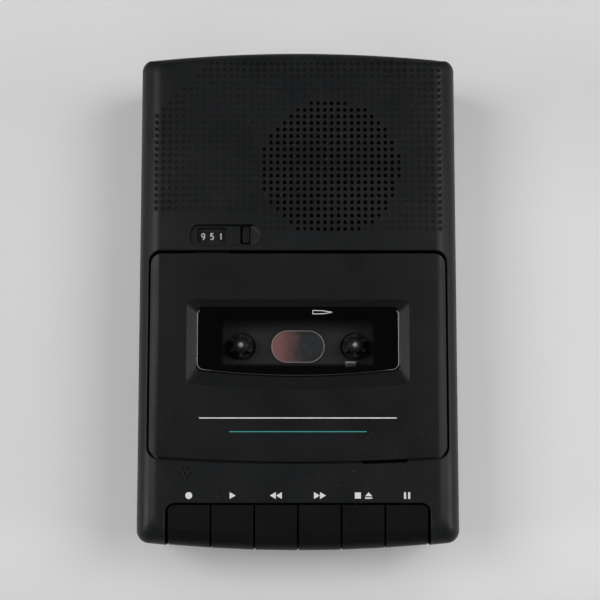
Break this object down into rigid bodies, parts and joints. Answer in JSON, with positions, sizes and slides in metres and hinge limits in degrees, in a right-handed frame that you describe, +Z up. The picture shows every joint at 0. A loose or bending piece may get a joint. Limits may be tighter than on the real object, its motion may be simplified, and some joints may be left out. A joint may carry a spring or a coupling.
{
  "type": "portable cassette recorder",
  "caption": "Portable cassette recorder with piano keys, a flip-up cassette lid with a smoked window, a tape counter and a round speaker grille.",
  "frame": {"origin": "middle of the underside, on the plane that the feet stand on", "axes": "+X across the case to the side with the sockets, +Y from the keys to the speaker, +Z up"},
  "size_m": [0.118, 0.185, 0.046],
  "materials": {
    "case_plastic": "fine grained moulding, charcoal",
    "lid_plastic": "fine grained moulding, charcoal",
    "key_plastic": "smooth moulding, near black",
    "black_plastic": "smooth moulding, black",
    "smoked_window": "smoked, polished",
    "clear_window": "clear, polished",
    "rubber": "moulded",
    "bright_steel": "bright plated sheet and wire",
    "polished": "polished",
    "light_alloy": "rolled sheet",
    "head_metal": "polished screening can",
    "brass": "turned",
    "flywheel_metal": "turned",
    "black_metal": "black paint on pressed sheet",
    "motor_steel": "plated can",
    "paper_cone": "pressed paper",
    "magnet": "sintered",
    "board": "laminate",
    "parts": "moulded"
  },
  "bodies": {
    "case": {"top_case": "case_plastic", "bottom_case": "case_plastic", "feet": "rubber", "case_screws": "bright_steel", "speaker_basket": "black_metal", "speaker_cone": "paper_cone", "speaker_magnet": "magnet", "mic_capsule": "bright_steel", "lid_pins": "bright_steel", "cassette_well": "black_plastic", "view_mirror": "polished", "detent_tab": "bright_steel", "deck_plate": "bright_steel", "deck_screws": "bright_steel", "reel_pins": "bright_steel", "key_rod": "bright_steel", "key_spring_comb": "bright_steel", "capstan_bush": "brass", "flywheel_bracket": "bright_steel", "motor": "motor_steel", "drive_belt": "rubber", "counter_frame": "black_plastic", "counter_axle": "bright_steel", "counter_window": "clear_window", "circuit_board": "board", "board_parts": "parts", "mic_jack": "black_plastic", "earphone_jack": "black_plastic", "power_jack": "black_plastic", "volume_control": "motor_steel", "battery_springs": "bright_steel", "battery_plates": "bright_steel"},
    "lid": {"lid": "lid_plastic", "window_lens": "smoked_window", "lid_springs": "bright_steel"},
    "latch": {"lid_latch": "black_metal"},
    "supply_reel": {"supply_spindle": "black_plastic"},
    "takeup_reel": {"takeup_spindle": "black_plastic"},
    "key_record": {"key_record": "key_plastic"},
    "key_play": {"key_play": "key_plastic"},
    "key_rewind": {"key_rewind": "key_plastic"},
    "key_forward": {"key_forward": "key_plastic"},
    "key_stop": {"key_stop": "key_plastic"},
    "key_pause": {"key_pause": "key_plastic"},
    "head_slide": {"head_plate": "light_alloy", "tape_head": "head_metal", "erase_head": "black_plastic", "pinch_arm": "light_alloy"},
    "pinch_roller": {"pinch_roller": "rubber"},
    "flywheel": {"flywheel": "flywheel_metal", "capstan": "bright_steel"},
    "motor_pulley": {"motor_pulley": "brass"},
    "hundreds_wheel": {"hundreds_wheel": "black_plastic"},
    "tens_wheel": {"tens_wheel": "black_plastic"},
    "units_wheel": {"units_wheel": "black_plastic"},
    "reset_button": {"reset_button": "black_plastic"},
    "volume_wheel": {"volume_wheel": "black_plastic"},
    "battery_door": {"battery_door": "case_plastic"}
  },
  "joints": [
    {"name": "lid_hinge", "type": "hinge", "parent": "case", "child": "lid", "pos_m": [0, 0.0199, 0.0414], "axis": [-1, 0, 0], "range_deg": [0, 60]},
    {"name": "key_record_press", "type": "hinge", "parent": "case", "child": "key_record", "pos_m": [0, -0.0685, 0.0335], "axis": [1, 0, 0], "range_deg": [0, 8], "stiffness_Nm_per_rad": 0.05, "springref_deg": -5.73, "deforming": ["key_spring_comb"]},
    {"name": "key_play_press", "type": "hinge", "parent": "case", "child": "key_play", "pos_m": [0, -0.0685, 0.0335], "axis": [1, 0, 0], "range_deg": [0, 8], "stiffness_Nm_per_rad": 0.05, "springref_deg": -5.73, "deforming": ["key_spring_comb"]},
    {"name": "key_rewind_press", "type": "hinge", "parent": "case", "child": "key_rewind", "pos_m": [0, -0.0685, 0.0335], "axis": [1, 0, 0], "range_deg": [0, 8], "stiffness_Nm_per_rad": 0.05, "springref_deg": -5.73, "deforming": ["key_spring_comb"]},
    {"name": "key_forward_press", "type": "hinge", "parent": "case", "child": "key_forward", "pos_m": [0, -0.0685, 0.0335], "axis": [1, 0, 0], "range_deg": [0, 8], "stiffness_Nm_per_rad": 0.05, "springref_deg": -5.73, "deforming": ["key_spring_comb"]},
    {"name": "key_stop_press", "type": "hinge", "parent": "case", "child": "key_stop", "pos_m": [0, -0.0685, 0.0335], "axis": [1, 0, 0], "range_deg": [0, 8], "stiffness_Nm_per_rad": 0.05, "springref_deg": -5.73, "deforming": ["key_spring_comb"]},
    {"name": "key_pause_press", "type": "hinge", "parent": "case", "child": "key_pause", "pos_m": [0, -0.0685, 0.0335], "axis": [1, 0, 0], "range_deg": [0, 8], "stiffness_Nm_per_rad": 0.05, "springref_deg": -5.73, "deforming": ["key_spring_comb"]},
    {"name": "head_travel", "type": "slide", "parent": "case", "child": "head_slide", "axis": [0, 1, 0], "range_m": [0, 0.0044]},
    {"name": "pinch_spin", "type": "hinge", "parent": "head_slide", "child": "pinch_roller", "pos_m": [0.0225, -0.0558, 0], "axis": [0, 0, 1], "continuous": true},
    {"name": "latch_travel", "type": "slide", "parent": "case", "child": "latch", "axis": [0, -1, 0], "range_m": [0, 0.0025]},
    {"name": "supply_spin", "type": "hinge", "parent": "case", "child": "supply_reel", "pos_m": [-0.02125, -0.017, 0], "axis": [0, 0, 1], "continuous": true},
    {"name": "takeup_spin", "type": "hinge", "parent": "case", "child": "takeup_reel", "pos_m": [0.02125, -0.017, 0], "axis": [0, 0, 1], "continuous": true},
    {"name": "flywheel_spin", "type": "hinge", "parent": "case", "child": "flywheel", "pos_m": [0.0225, -0.0453, 0], "axis": [0, 0, 1], "continuous": true},
    {"name": "pulley_spin", "type": "hinge", "parent": "case", "child": "motor_pulley", "pos_m": [-0.022, -0.038, 0], "axis": [0, 0, 1], "continuous": true},
    {"name": "units_spin", "type": "hinge", "parent": "case", "child": "units_wheel", "pos_m": [0, 0.0231, 0.0367], "axis": [1, 0, 0], "continuous": true},
    {"name": "tens_spin", "type": "hinge", "parent": "case", "child": "tens_wheel", "pos_m": [0, 0.0231, 0.0367], "axis": [1, 0, 0], "continuous": true},
    {"name": "hundreds_spin", "type": "hinge", "parent": "case", "child": "hundreds_wheel", "pos_m": [0, 0.0231, 0.0367], "axis": [1, 0, 0], "continuous": true},
    {"name": "reset_press", "type": "slide", "parent": "case", "child": "reset_button", "axis": [0, 0, -1], "range_m": [0, 0.0015], "stiffness_N_per_m": 100, "springref_m": -0.001},
    {"name": "volume_turn", "type": "hinge", "parent": "case", "child": "volume_wheel", "pos_m": [0.0485, -0.01, 0], "axis": [0, 0, 1], "range_deg": [-140, 140]},
    {"name": "door_slide", "type": "slide", "parent": "case", "child": "battery_door", "axis": [0, 1, 0], "range_m": [0, 0.061]}
  ],
  "couplings": [
    {"joint": "head_travel", "follows": "key_play_press", "m_per_rad": 0.0315},
    {"joint": "latch_travel", "follows": "key_stop_press", "m_per_rad": 0.0179},
    {"joint": "pulley_spin", "follows": "flywheel_spin", "ratio": 5.1562},
    {"joint": "units_spin", "follows": "takeup_spin", "ratio": 0.05},
    {"joint": "tens_spin", "follows": "takeup_spin", "ratio": 0.005},
    {"joint": "hundreds_spin", "follows": "takeup_spin", "ratio": 0.0005}
  ]
}
